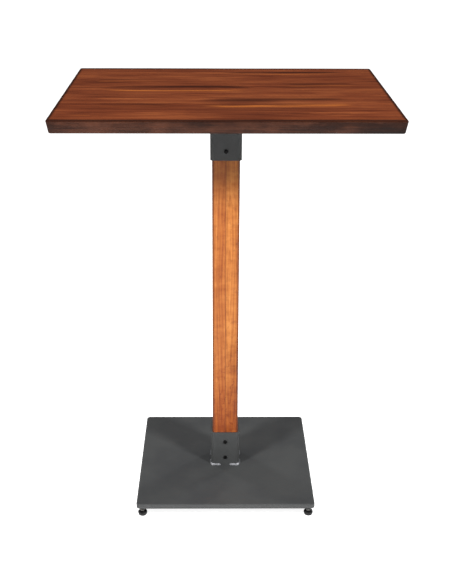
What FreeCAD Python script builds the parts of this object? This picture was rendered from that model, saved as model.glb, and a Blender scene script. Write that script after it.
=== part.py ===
import FreeCAD, Part
import math
import os
import Sketcher

# A bar-height bistro table: an edge-glued wooden top, a two-piece laminated wooden post held in
# two square steel sockets, and a square steel base plate on four screw feet.
# Frame: origin on the floor under the middle of the post, +Z up, +X along the long side of the
# top, and the front of the table towards -Y.

doc = FreeCAD.newDocument("bistro_table")

# ---------------------------------------------------------------- driving dimensions (mm)

SIZES = {
    "table_height": 1045,
    # wooden top
    "top_length": 762,
    "top_width": 610,
    "top_thickness": 28.6,
    "stave_count": 7,
    "edge_undercut": 5,
    "top_corner_radius": 6,
    "top_arris_radius": 2,
    "top_lower_radius": 3,
    # steel plate under the top, and the screws that hold it
    "mount_plate_size": 260,
    "mount_plate_thickness": 6,
    "mount_plate_corner": 12,
    "mount_hole_inset": 20,
    "mount_hole_clearance": 0.4,
    "wood_screw_diameter": 4.8,
    "wood_screw_length": 24,
    "wood_screw_point": 5,
    "wood_screw_head": 10.5,
    "wood_screw_head_height": 2.8,
    "wood_screw_drive": 3.5,
    "pilot_clearance": 0.1,
    # square tube sockets
    "tube_width": 76.2,
    "tube_wall": 4,
    "tube_corner_radius": 8.5,
    "tube_arris": 0.8,
    "upper_socket_length": 122,
    "lower_socket_length": 100,
    "weld_leg": 5,
    "weld_bulge": 3.2,
    "weld_reach": 26,
    # laminated post
    "post_clearance": 0.3,
    "post_end_gap": 2,
    # socket screws
    "upper_screw_setback": 22,
    "lower_screw_setback": 28,
    "screw_spacing": 48,
    "screw_diameter": 6,
    "screw_tip_gap": 12.2,
    "screw_point": 5,
    "screw_head": 10.5,
    "screw_head_height": 3,
    "screw_head_dome": 2.2,
    "screw_drive": 4,
    "screw_drive_depth": 1.8,
    "screw_hole_clearance": 0.2,
    # base plate
    "base_size": 460,
    "base_thickness": 13,
    "base_corner_radius": 10,
    "base_arris_radius": 2.5,
    "base_lower_arris": 1,
    "floor_gap": 25.5,
    # screw feet
    "foot_inset": 15,
    "foot_hole_roof": 2,
    "foot_rise_room": 3.5,
    "thread_clearance": 0.05,
    "pad_diameter": 24,
    "pad_height": 12.5,
    "pad_rim_height": 8,
    "pad_collar": 15,
    "pad_floor": 1.5,
    "swivel_clearance": 0.3,
    "stem_diameter": 8,
    "stem_chamfer": 1,
    "flange_diameter": 14,
    "flange_thickness": 3,
    "stem_hex": 13,
    "stem_hex_height": 5,
}

sizes = doc.addObject("Spreadsheet::Sheet", "sizes")
for row, (name, value) in enumerate(SIZES.items(), start=1):
    sizes.set(f"A{row}", name)
    sizes.set(f"B{row}", str(value))
    sizes.setAlias(f"B{row}", name)
doc.recompute()

# Heights and widths that several pieces share, as formulas of the driving dimensions.
TOP_UNDERSIDE = "(sizes.table_height - sizes.top_thickness)"
PLATE_UNDERSIDE = f"({TOP_UNDERSIDE} - sizes.mount_plate_thickness)"
UPPER_RIM = f"({PLATE_UNDERSIDE} - sizes.upper_socket_length)"
BASE_TOP = "(sizes.floor_gap + sizes.base_thickness)"
LOWER_RIM = f"({BASE_TOP} + sizes.lower_socket_length)"
UPPER_SCREW = f"({UPPER_RIM} + sizes.upper_screw_setback)"
LOWER_SCREW = f"({LOWER_RIM} - sizes.lower_screw_setback - sizes.screw_spacing)"
TUBE_HALF = "(sizes.tube_width / 2)"
BORE_HALF = "(sizes.tube_width / 2 - sizes.tube_wall)"
POST_HALF = f"({BORE_HALF} - sizes.post_clearance)"
MOUNT_HOLE = "(sizes.mount_plate_size / 2 - sizes.mount_hole_inset)"
FOOT_PLACE = "(sizes.base_size / 2 - sizes.foot_inset)"
FLANGE_TOP = "(sizes.pad_floor + sizes.swivel_clearance + sizes.flange_thickness)"
HEX_BOTTOM = "(sizes.pad_height + sizes.swivel_clearance)"
FOOT_HOLE_DEPTH = "(sizes.base_thickness - sizes.foot_hole_roof)"
STEM_TOP = f"(sizes.floor_gap + {FOOT_HOLE_DEPTH} - sizes.foot_rise_room)"
SCREW_LENGTH = f"({TUBE_HALF} - sizes.screw_tip_gap / 2)"

NEAR = 0.01
HEAD_DOWN = FreeCAD.Rotation(FreeCAD.Vector(1, 0, 0), 180)
FACING = {
    "front": (-1, FreeCAD.Rotation(FreeCAD.Vector(1, 0, 0), 90)),
    "rear": (1, FreeCAD.Rotation(FreeCAD.Vector(1, 0, 0), -90)),
}
parts = []


# ---------------------------------------------------------------- sketch and feature helpers


def new_body(label, many=False):
    """A body for one sub-part; many lets it hold several separate, identical solids."""
    body = doc.addObject("PartDesign::Body", label)
    body.Label = label
    body.AllowCompound = many
    return body


def place(body, rotation=None, **base):
    """Turns a body and ties its position to the sheet."""
    if rotation is not None:
        body.Placement = FreeCAD.Placement(FreeCAD.Vector(0, 0, 0), rotation)
    for axis, formula in base.items():
        body.setExpression(f"Placement.Base.{axis}", formula)


def origin_of(body, role):
    return next(item for item in body.Origin.OriginFeatures if item.Role == role)


def new_sketch(body, name, plane, **offset):
    """A sketch on one of the body's own origin planes, shifted by formulas in its own axes."""
    sketch = body.newObject("Sketcher::SketchObject", name)
    sketch.AttachmentSupport = (origin_of(body, plane), [""])
    sketch.MapMode = "FlatFace"
    for axis, formula in offset.items():
        sketch.setExpression(f"AttachmentOffset.Base.{axis}", formula)
    return sketch


def pin(sketch, geometry, point, across, up):
    """Fixes a point at (across, up) from the sketch's origin; a formula of None means zero."""
    for kind, formula, axis in (("DistanceX", across, -2), ("DistanceY", up, -1)):
        if formula is None:
            sketch.addConstraint(Sketcher.Constraint("PointOnObject", geometry, point, axis))
        else:
            sign = -1 if formula.startswith("-") else 1
            index = sketch.addConstraint(
                Sketcher.Constraint(kind, -1, 1, geometry, point, sign * 1.0)
            )
            sketch.setExpression(f"Constraints[{index}]", formula)


def polygon(sketch, corners):
    """A closed outline through corners, each an (across, up) pair of formulas."""
    first = sketch.GeometryCount
    count = len(corners)
    ring = [
        FreeCAD.Vector(math.cos(2 * math.pi * i / count), math.sin(2 * math.pi * i / count), 0)
        for i in range(count)
    ]
    for i in range(count):
        sketch.addGeometry(Part.LineSegment(ring[i], ring[(i + 1) % count]), False)
    for i in range(count):
        following = first + (i + 1) % count
        sketch.addConstraint(Sketcher.Constraint("Coincident", first + i, 2, following, 1))
    for i, (across, up) in enumerate(corners):
        pin(sketch, first + i, 1, across, up)


def rectangle(sketch, half_across, half_up):
    """A rectangle centred on the sketch's origin."""
    polygon(
        sketch,
        [
            (f"-{half_across}", f"-{half_up}"),
            (half_across, f"-{half_up}"),
            (half_across, half_up),
            (f"-{half_across}", half_up),
        ],
    )


def hexagon(sketch, across_flats):
    """A regular hexagon centred on the sketch's origin, with corners left and right."""
    far = f"{across_flats} / sqrt(3)"
    near = f"{across_flats} / (2 * sqrt(3))"
    flat = f"{across_flats} / 2"
    polygon(
        sketch,
        [
            (far, None),
            (near, flat),
            (f"-{near}", flat),
            (f"-{far}", None),
            (f"-{near}", f"-{flat}"),
            (near, f"-{flat}"),
        ],
    )


def circle(sketch, across, up, radius):
    index = sketch.addGeometry(
        Part.Circle(FreeCAD.Vector(0, 0, 0), FreeCAD.Vector(0, 0, 1), 1.0), False
    )
    pin(sketch, index, 3, across, up)
    number = sketch.addConstraint(Sketcher.Constraint("Radius", index, 1.0))
    sketch.setExpression(f"Constraints[{number}]", radius)


def pad(body, name, sketch, length, both_ways=False):
    feature = body.newObject("PartDesign::Pad", name)
    feature.Profile = sketch
    if both_ways:
        feature.SideType = "Symmetric"
    feature.setExpression("Length", length)
    doc.recompute()
    return feature


def volume(body):
    return body.Shape.Volume


def pocket(body, name, sketch, depth=None, upwards=False):
    """A cut to a depth, or right through both ways when depth is None; it must remove something."""
    before = volume(body)
    feature = body.newObject("PartDesign::Pocket", name)
    feature.Profile = sketch
    if depth is None:
        feature.Type = "ThroughAll"
        feature.SideType = "Symmetric"
    else:
        feature.Reversed = upwards
        feature.setExpression("Length", depth)
    doc.recompute()
    if volume(body) > before - NEAR:
        raise RuntimeError(f"{body.Label}: {name} cuts nothing")
    return feature


def turned(body, name, sketch):
    """A full turn of a sketch about its own upright axis."""
    feature = body.newObject("PartDesign::Revolution", name)
    feature.Profile = sketch
    feature.ReferenceAxis = (sketch, ["V_Axis"])
    feature.Angle = 360
    doc.recompute()
    return feature


def ring_of_four(body, name, features):
    """Repeats features four times about the body's own upright axis."""
    feature = body.newObject("PartDesign::PolarPattern", name)
    feature.Originals = features
    feature.Axis = (origin_of(body, "Z_Axis"), [""])
    feature.Angle = 360
    feature.Occurrences = 4
    body.Tip = feature
    doc.recompute()
    return feature


def rounded(body, name, radius, wanted):
    """Rounds every edge of the body for which wanted(start, end, middle, low, high) is true.

    start, middle and end are points on the edge; low and high are the piece's lowest and highest z.
    """
    base = body.Tip
    levels = [vertex.Z for vertex in base.Shape.Vertexes]
    chosen = []
    for number, edge in enumerate(base.Shape.Edges, start=1):
        start = edge.valueAt(edge.FirstParameter)
        end = edge.valueAt(edge.LastParameter)
        middle = edge.valueAt((edge.FirstParameter + edge.LastParameter) / 2)
        if wanted(start, end, middle, min(levels), max(levels)):
            chosen.append(f"Edge{number}")
    feature = body.newObject("PartDesign::Fillet", name)
    feature.Base = (base, chosen)
    feature.setExpression("Radius", radius)
    doc.recompute()
    return feature


def corner_edge(start, end, middle, low, high):
    """An edge that runs from the bottom of the piece to its top."""
    return abs(start.z - end.z) > high - low - NEAR


def upper_edge(start, end, middle, low, high):
    return min(start.z, end.z) > high - NEAR


def lower_edge(start, end, middle, low, high):
    return max(start.z, end.z) < low + NEAR


def outside(edge_test):
    """Limits an edge test to the outline of a tube, leaving its bore alone."""
    bore_half = sizes.tube_width / 2 - sizes.tube_wall

    def test(start, end, middle, low, high):
        beyond = max(abs(middle.x), abs(middle.y)) > bore_half + NEAR
        return beyond and edge_test(start, end, middle, low, high)

    return test


def inside(edge_test):
    """Limits an edge test to the bore of a tube."""
    bore_half = sizes.tube_width / 2 - sizes.tube_wall

    def test(start, end, middle, low, high):
        within = max(abs(middle.x), abs(middle.y)) < bore_half + NEAR
        return within and edge_test(start, end, middle, low, high)

    return test


# ---------------------------------------------------------------- the pieces


def top_panel():
    """The whole top as glued up and shaped, before it is told apart into its staves."""
    body = new_body("top_panel")
    half_length = "(sizes.top_length / 2)"
    half_width = "(sizes.top_width / 2)"
    section = new_sketch(body, "panel_section", "YZ_Plane")
    polygon(
        section,
        [
            (f"-({half_width} - sizes.edge_undercut)", TOP_UNDERSIDE),
            (f"{half_width} - sizes.edge_undercut", TOP_UNDERSIDE),
            (half_width, "sizes.table_height"),
            (f"-{half_width}", "sizes.table_height"),
        ],
    )
    pad(body, "panel_blank", section, "sizes.top_length", both_ways=True)
    ends = new_sketch(body, "panel_ends", "XZ_Plane")
    for sign in ("", "-"):
        polygon(
            ends,
            [
                (f"{sign}({half_length} - sizes.edge_undercut)", TOP_UNDERSIDE),
                (f"{sign}({half_length} + sizes.edge_undercut)", TOP_UNDERSIDE),
                (f"{sign}({half_length} + sizes.edge_undercut)", "sizes.table_height"),
                (f"{sign}{half_length}", "sizes.table_height"),
            ],
        )
    pocket(body, "panel_end_undercut", ends)
    rounded(body, "panel_corners", "sizes.top_corner_radius", corner_edge)
    rounded(body, "panel_arris", "sizes.top_arris_radius", upper_edge)
    rounded(body, "panel_lower_arris", "sizes.top_lower_radius", lower_edge)

    pilots = new_sketch(body, "pilot_holes", "XY_Plane", z=TOP_UNDERSIDE)
    bore = "sizes.wood_screw_diameter / 2 + sizes.pilot_clearance"
    circle(pilots, MOUNT_HOLE, MOUNT_HOLE, bore)
    circle(pilots, MOUNT_HOLE, None, bore)
    depth = "sizes.wood_screw_length - sizes.mount_plate_thickness + sizes.pilot_clearance"
    drilled = pocket(body, "pilot_drilling", pilots, depth, upwards=True)
    ring_of_four(body, "pilot_pattern", [drilled])
    return body


def top_stave(number, panel):
    """One board of the top, counted from the front edge."""
    blank = doc.addObject("Part::Box", f"stave_blank_{number}")
    stave_width = "sizes.top_width / sizes.stave_count"
    blank.setExpression("Length", "sizes.top_length")
    blank.setExpression("Width", stave_width)
    blank.setExpression("Height", "sizes.top_thickness")
    blank.setExpression("Placement.Base.x", "-sizes.top_length / 2")
    blank.setExpression(
        "Placement.Base.y", f"-sizes.top_width / 2 + {number - 1} * {stave_width}"
    )
    blank.setExpression("Placement.Base.z", TOP_UNDERSIDE)
    stave = doc.addObject("Part::Common", f"top_stave_{number}")
    stave.Base = blank
    stave.Tool = panel
    stave.Label = f"top_stave_{number}"
    return stave


def mounting_plate():
    """The flat steel plate that carries the top."""
    body = new_body("top_mounting_plate")
    outline = new_sketch(body, "plate_outline", "XY_Plane", z=PLATE_UNDERSIDE)
    rectangle(outline, "(sizes.mount_plate_size / 2)", "(sizes.mount_plate_size / 2)")
    pad(body, "plate_blank", outline, "sizes.mount_plate_thickness")
    rounded(body, "plate_corners", "sizes.mount_plate_corner", corner_edge)
    holes = new_sketch(body, "plate_holes", "XY_Plane", z=PLATE_UNDERSIDE)
    bore = "sizes.wood_screw_diameter / 2 + sizes.mount_hole_clearance"
    circle(holes, MOUNT_HOLE, MOUNT_HOLE, bore)
    circle(holes, MOUNT_HOLE, None, bore)
    drilled = pocket(body, "plate_drilling", holes)
    ring_of_four(body, "plate_hole_pattern", [drilled])
    return body


def socket(label, bottom, length, first_screw, rim_edges):
    """A square tube with eased corners and two screw holes through its front and rear walls."""
    body = new_body(label)
    section = new_sketch(body, f"{label}_section", "XY_Plane", z=bottom)
    rectangle(section, TUBE_HALF, TUBE_HALF)
    rectangle(section, BORE_HALF, BORE_HALF)
    pad(body, f"{label}_tube", section, length)
    rounded(body, f"{label}_corners", "sizes.tube_corner_radius", outside(corner_edge))
    bore_radius = "sizes.tube_corner_radius - sizes.tube_wall"
    rounded(body, f"{label}_bore_corners", bore_radius, inside(corner_edge))
    rounded(body, f"{label}_rim", "sizes.tube_arris", outside(rim_edges))
    holes = new_sketch(body, f"{label}_screw_holes", "XZ_Plane")
    bore = "sizes.screw_diameter / 2 + sizes.screw_hole_clearance"
    circle(holes, None, first_screw, bore)
    circle(holes, None, f"{first_screw} + sizes.screw_spacing", bore)
    pocket(body, f"{label}_drilling", holes)
    return body


def corner_welds(label, height, rotation=None):
    """Four fillet welds, each wrapped round one corner of a square tube where it meets a plate."""
    body = new_body(label, many=True)
    half = sizes.tube_width / 2
    radius = sizes.tube_corner_radius
    reach = sizes.weld_reach
    route = new_sketch(body, f"{label}_route", "XY_Plane")
    bend = Part.Circle(
        FreeCAD.Vector(radius - half, radius - half, 0), FreeCAD.Vector(0, 0, 1), radius
    )
    run_start = FreeCAD.Vector(reach - half, -half, 0)
    run_end = FreeCAD.Vector(radius - half, -half, 0)
    side_start = FreeCAD.Vector(-half, radius - half, 0)
    side_end = FreeCAD.Vector(-half, reach - half, 0)
    route.addGeometry(Part.LineSegment(run_start, run_end), False)
    route.addGeometry(Part.ArcOfCircle(bend, math.pi, 1.5 * math.pi), False)
    route.addGeometry(Part.LineSegment(side_start, side_end), False)
    route.addConstraint(Sketcher.Constraint("Tangent", 0, 2, 1, 2))
    route.addConstraint(Sketcher.Constraint("Tangent", 1, 1, 2, 1))
    route.addConstraint(Sketcher.Constraint("Horizontal", 0))
    route.addConstraint(Sketcher.Constraint("Vertical", 2))
    turn = route.addConstraint(Sketcher.Constraint("Radius", 1, radius))
    route.setExpression(f"Constraints[{turn}]", "sizes.tube_corner_radius")
    pin(route, 0, 1, f"-({TUBE_HALF} - sizes.weld_reach)", f"-{TUBE_HALF}")
    pin(route, 2, 2, f"-{TUBE_HALF}", f"-({TUBE_HALF} - sizes.weld_reach)")

    section = new_sketch(
        body, f"{label}_section", "YZ_Plane", z=f"-({TUBE_HALF} - sizes.weld_reach)"
    )
    polygon(
        section,
        [
            (f"-{TUBE_HALF}", None),
            (f"-{TUBE_HALF}", "sizes.weld_leg"),
            (f"-({TUBE_HALF} + sizes.weld_bulge)", "sizes.weld_bulge"),
            (f"-({TUBE_HALF} + sizes.weld_leg)", None),
        ],
    )
    bead = body.newObject("PartDesign::AdditivePipe", f"{label}_bead")
    bead.Profile = section
    bead.Spine = (route, ["Edge1", "Edge2", "Edge3"])
    doc.recompute()
    ring_of_four(body, f"{label}_pattern", [bead])
    place(body, rotation, z=height)
    return body


def post_half(side, sign):
    """One of the two boards that are glued face to face into the square post."""
    body = new_body(f"post_{side}")
    outer = f"{sign}{POST_HALF}"
    section = new_sketch(body, f"post_{side}_section", "XY_Plane", z=BASE_TOP)
    polygon(
        section,
        [
            (None, f"-{POST_HALF}"),
            (outer, f"-{POST_HALF}"),
            (outer, POST_HALF),
            (None, POST_HALF),
        ],
    )
    pad(
        body,
        f"post_{side}_board",
        section,
        f"{PLATE_UNDERSIDE} - sizes.post_end_gap - {BASE_TOP}",
    )

    def outer_corner(start, end, middle, low, high):
        return abs(middle.x) > NEAR and corner_edge(start, end, middle, low, high)

    corner = "sizes.tube_corner_radius - sizes.tube_wall"
    rounded(body, f"post_{side}_corners", corner, outer_corner)
    holes = new_sketch(body, f"post_{side}_pilots", "XZ_Plane")
    bore = "sizes.screw_diameter / 2 + sizes.pilot_clearance"
    for first in (LOWER_SCREW, UPPER_SCREW):
        circle(holes, None, first, bore)
        circle(holes, None, f"{first} + sizes.screw_spacing", bore)
    pocket(body, f"post_{side}_drilling", holes)
    return body


def socket_screws(label, facing, first_screw):
    """Two dome-headed screws, one above the other, with their heads on the tube's wall."""
    sign, rotation = FACING[facing]
    body = new_body(label, many=True)
    radius = "sizes.screw_diameter / 2"
    head = "sizes.screw_head / 2"
    section = new_sketch(body, f"{label}_section", "XZ_Plane")
    polygon(
        section,
        [
            (None, f"-{SCREW_LENGTH}"),
            (radius, f"-({SCREW_LENGTH} - sizes.screw_point)"),
            (radius, None),
            (head, None),
            (head, "sizes.screw_head_height"),
            (None, "sizes.screw_head_height"),
        ],
    )
    blank = turned(body, f"{label}_blank", section)
    dome = rounded(body, f"{label}_dome", "sizes.screw_head_dome", upper_edge)
    drive = new_sketch(body, f"{label}_drive", "XY_Plane", z="sizes.screw_head_height")
    hexagon(drive, "sizes.screw_drive")
    recess = pocket(body, f"{label}_recess", drive, "sizes.screw_drive_depth")
    pair = body.newObject("PartDesign::LinearPattern", f"{label}_pair")
    pair.Originals = [blank, dome, recess]
    pair.Direction = (origin_of(body, "Y_Axis"), [""])
    pair.Reversed = facing == "rear"
    pair.setExpression("Length", "sizes.screw_spacing")
    pair.Occurrences = 2
    body.Tip = pair
    doc.recompute()
    place(body, rotation, y=f"{sign} * {TUBE_HALF}", z=first_screw)
    return body


def wood_screws(label, across, up):
    """Four flat-headed screws that hold the steel plate to the wood, heads downwards."""
    body = new_body(label, many=True)
    radius = "sizes.wood_screw_diameter / 2"
    head = "sizes.wood_screw_head / 2"
    shift = {"x": across} if up is None else {"x": across, "z": f"-{up}"}
    section = new_sketch(body, f"{label}_section", "XZ_Plane", **shift)
    polygon(
        section,
        [
            (None, "-sizes.wood_screw_length"),
            (radius, "-(sizes.wood_screw_length - sizes.wood_screw_point)"),
            (radius, None),
            (head, None),
            (head, "sizes.wood_screw_head_height / 2"),
            ("sizes.wood_screw_diameter", "sizes.wood_screw_head_height"),
            (None, "sizes.wood_screw_head_height"),
        ],
    )
    blank = turned(body, f"{label}_blank", section)
    shift = {"x": across, "z": "sizes.wood_screw_head_height"}
    if up is not None:
        shift["y"] = up
    drive = new_sketch(body, f"{label}_drive", "XY_Plane", **shift)
    half = "(sizes.wood_screw_drive / 2)"
    rectangle(drive, half, half)
    recess = pocket(body, f"{label}_recess", drive, "sizes.wood_screw_head_height / 2")
    ring_of_four(body, f"{label}_pattern", [blank, recess])
    place(body, HEAD_DOWN, z=PLATE_UNDERSIDE)
    return body


def base_plate():
    """The heavy steel plate that the table stands on, tapped from below for its feet."""
    body = new_body("base_plate")
    outline = new_sketch(body, "base_outline", "XY_Plane", z="sizes.floor_gap")
    rectangle(outline, "(sizes.base_size / 2)", "(sizes.base_size / 2)")
    pad(body, "base_blank", outline, "sizes.base_thickness")
    rounded(body, "base_corners", "sizes.base_corner_radius", corner_edge)
    rounded(body, "base_arris", "sizes.base_arris_radius", upper_edge)
    rounded(body, "base_lower_arris_edge", "sizes.base_lower_arris", lower_edge)
    holes = new_sketch(body, "foot_holes", "XY_Plane", z="sizes.floor_gap")
    bore = "sizes.stem_diameter / 2 + sizes.thread_clearance"
    circle(holes, FOOT_PLACE, FOOT_PLACE, bore)
    tapped = pocket(body, "foot_tapping", holes, FOOT_HOLE_DEPTH, upwards=True)
    ring_of_four(body, "foot_hole_pattern", [tapped])
    return body


def foot_pad(corner, across, depth):
    """The round moulded pad on the floor, hollow inside for the flange of its stem."""
    body = new_body(f"foot_pad_{corner}")
    rim = "sizes.pad_diameter / 2"
    collar = "sizes.pad_collar / 2"
    mouth = "sizes.stem_diameter / 2 + sizes.swivel_clearance"
    hollow = "sizes.flange_diameter / 2 + sizes.swivel_clearance"
    ceiling = f"{FLANGE_TOP} + sizes.swivel_clearance"
    section = new_sketch(body, f"foot_pad_{corner}_section", "XZ_Plane")
    polygon(
        section,
        [
            (None, None),
            (rim, None),
            (rim, "sizes.pad_rim_height"),
            (collar, "sizes.pad_height"),
            (mouth, "sizes.pad_height"),
            (mouth, ceiling),
            (hollow, ceiling),
            (hollow, "sizes.pad_floor"),
            (None, "sizes.pad_floor"),
        ],
    )
    turned(body, f"foot_pad_{corner}_moulding", section)
    place(body, x=f"{across}{FOOT_PLACE}", y=f"{depth}{FOOT_PLACE}")
    return body


def foot_stem(corner, across, depth):
    """The threaded stem: a flange inside the pad, a spanner hexagon, and the thread above it."""
    body = new_body(f"foot_stem_{corner}")
    radius = "sizes.stem_diameter / 2"
    flange = "sizes.flange_diameter / 2"
    flange_bottom = "sizes.pad_floor + sizes.swivel_clearance"
    section = new_sketch(body, f"foot_stem_{corner}_section", "XZ_Plane")
    polygon(
        section,
        [
            (None, flange_bottom),
            (flange, flange_bottom),
            (flange, FLANGE_TOP),
            (radius, FLANGE_TOP),
            (radius, f"{STEM_TOP} - sizes.stem_chamfer"),
            (f"{radius} - sizes.stem_chamfer", STEM_TOP),
            (None, STEM_TOP),
        ],
    )
    turned(body, f"foot_stem_{corner}_rod", section)
    spanner = new_sketch(body, f"foot_stem_{corner}_hexagon", "XY_Plane", z=HEX_BOTTOM)
    hexagon(spanner, "sizes.stem_hex")
    pad(body, f"foot_stem_{corner}_nut", spanner, "sizes.stem_hex_height")
    place(body, x=f"{across}{FOOT_PLACE}", y=f"{depth}{FOOT_PLACE}")
    return body


# ---------------------------------------------------------------- assembly

panel = top_panel()
for stave_number in range(1, int(sizes.stave_count) + 1):
    parts.append(top_stave(stave_number, panel))
parts.append(mounting_plate())
parts.append(
    socket("upper_socket", UPPER_RIM, "sizes.upper_socket_length", UPPER_SCREW, lower_edge)
)
parts.append(
    socket("lower_socket", BASE_TOP, "sizes.lower_socket_length", LOWER_SCREW, upper_edge)
)
parts.append(corner_welds("upper_socket_welds", PLATE_UNDERSIDE, HEAD_DOWN))
parts.append(corner_welds("lower_socket_welds", BASE_TOP))
for side, sign in (("left", "-"), ("right", "")):
    parts.append(post_half(side, sign))
for level, first_screw in (("upper", UPPER_SCREW), ("lower", LOWER_SCREW)):
    for facing in FACING:
        parts.append(socket_screws(f"{level}_socket_screws_{facing}", facing, first_screw))
parts.append(wood_screws("top_screws_corners", MOUNT_HOLE, MOUNT_HOLE))
parts.append(wood_screws("top_screws_sides", MOUNT_HOLE, None))
parts.append(base_plate())
for depth_name, depth in (("front", "-"), ("rear", "")):
    for side, across in (("left", "-"), ("right", "")):
        parts.append(foot_pad(f"{depth_name}_{side}", across, depth))
        parts.append(foot_stem(f"{depth_name}_{side}", across, depth))
doc.recompute()

# ---------------------------------------------------------------- checks and export

for item in doc.Objects:
    if "Invalid" in item.State or "Error" in item.State:
        raise RuntimeError(f"{item.Label} failed: {item.State}")
for part in parts:
    if part.Shape.isNull() or not part.Shape.isValid():
        raise RuntimeError(f"{part.Label} has no valid shape")

os.makedirs("parts", exist_ok=True)
for part in parts:
    part.Shape.exportStep(f"parts/{part.Label}.step")
    box = part.Shape.BoundBox
    print(
        f"{part.Label}: {len(part.Shape.Solids)} solid(s), {part.Shape.Volume / 1000:.1f} cm3,"
        f" z {box.ZMin:.1f} to {box.ZMax:.1f}"
    )
print(f"{len(parts)} nodes written")
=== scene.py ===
# %% [markdown]
# # A bistro table, piece by piece
#
# The table is a scraped and stained wooden top on one square wooden post. Steel sockets hold the
# post at both ends, a heavy steel plate is its foot, and four screw feet make it stand level.
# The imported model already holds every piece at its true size, so this file adds what a finisher
# would: scraped boards, ripples in the welds, threads, grain, stain and paint.

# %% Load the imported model
import math

import bmesh
import bpy
from mathutils import Matrix, Vector


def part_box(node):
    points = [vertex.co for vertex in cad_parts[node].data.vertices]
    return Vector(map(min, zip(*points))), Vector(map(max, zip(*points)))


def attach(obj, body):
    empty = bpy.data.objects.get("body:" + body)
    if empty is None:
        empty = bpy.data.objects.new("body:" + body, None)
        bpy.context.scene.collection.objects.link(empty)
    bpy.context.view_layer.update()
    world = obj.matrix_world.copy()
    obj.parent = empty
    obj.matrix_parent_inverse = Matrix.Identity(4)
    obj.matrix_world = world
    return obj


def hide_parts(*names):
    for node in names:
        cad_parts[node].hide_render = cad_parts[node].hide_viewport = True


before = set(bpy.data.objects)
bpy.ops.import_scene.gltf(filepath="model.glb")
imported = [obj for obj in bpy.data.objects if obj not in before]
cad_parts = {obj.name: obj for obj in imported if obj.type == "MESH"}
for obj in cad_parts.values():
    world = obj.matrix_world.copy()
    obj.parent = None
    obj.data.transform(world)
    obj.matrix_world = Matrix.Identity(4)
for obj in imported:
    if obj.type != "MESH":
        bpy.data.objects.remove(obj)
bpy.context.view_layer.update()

# %% [markdown]
# ## Sizes that the rest of the lesson leans on
#
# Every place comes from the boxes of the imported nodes. Naming them once keeps later cells short,
# and if the model is made larger the finish follows it. All lengths are in metres.

# %% Read the sizes
MM = 0.001
WHOLE_TURN = 2 * math.pi

STAVES = sorted(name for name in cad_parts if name.startswith("top_stave_"))
FEET = ("front_left", "front_right", "rear_left", "rear_right")

top_low, top_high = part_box(STAVES[0])
for stave in STAVES[1:]:
    low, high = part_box(stave)
    top_low = Vector(map(min, top_low, low))
    top_high = Vector(map(max, top_high, high))

post_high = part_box("post_right")[1]
socket_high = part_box("lower_socket")[1]
upper_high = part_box("upper_socket")[1]
base_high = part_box("base_plate")[1]

half_post = post_high.x
half_tube = socket_high.x
print("top", [round(v, 4) for v in top_high - top_low], "post half width", round(half_post, 4))

# %% [markdown]
# ## The camera
#
# The table is seen from about a standing person's eye height, almost straight on. The lens is long
# enough that the post's sides look nearly parallel. A small upward shift frames the table without
# tilting the camera more, which would make its upright lines lean.

# %% Set up the camera
LENS_IN_FRAME_HEIGHTS = 1.7339
SENSOR = 36.0
UPWARD_SHIFT = 0.0765
EYE = (-0.0201, -2.4085, 1.5273)
TILT_BELOW_LEVEL = 24.933
ROLL = 0.201
PAN = -0.516

camera_data = bpy.data.cameras.new("camera")
camera_data.sensor_width = SENSOR
camera_data.lens = SENSOR * LENS_IN_FRAME_HEIGHTS
camera_data.shift_y = UPWARD_SHIFT
camera_data.clip_end = 100.0
camera = bpy.data.objects.new("camera", camera_data)
bpy.context.scene.collection.objects.link(camera)
camera.location = EYE
panned = Matrix.Rotation(math.radians(PAN), 3, "Z")
tilted = Matrix.Rotation(math.radians(90.0 - TILT_BELOW_LEVEL), 3, "X")
rolled = Matrix.Rotation(math.radians(ROLL), 3, "Z")
camera.rotation_euler = (panned @ tilted @ rolled).to_euler()
bpy.context.scene.camera = camera
print("lens", round(camera_data.lens, 2), "mm at", tuple(camera.location))

# %% [markdown]
# ## Writing node trees in few words
#
# Materials and Geometry Nodes are both trees of nodes. Wiring a node takes three steps: make it,
# fill its sockets, join it to the next one. This small class does the three in one call, so that
# the trees below read like formulas.


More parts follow.
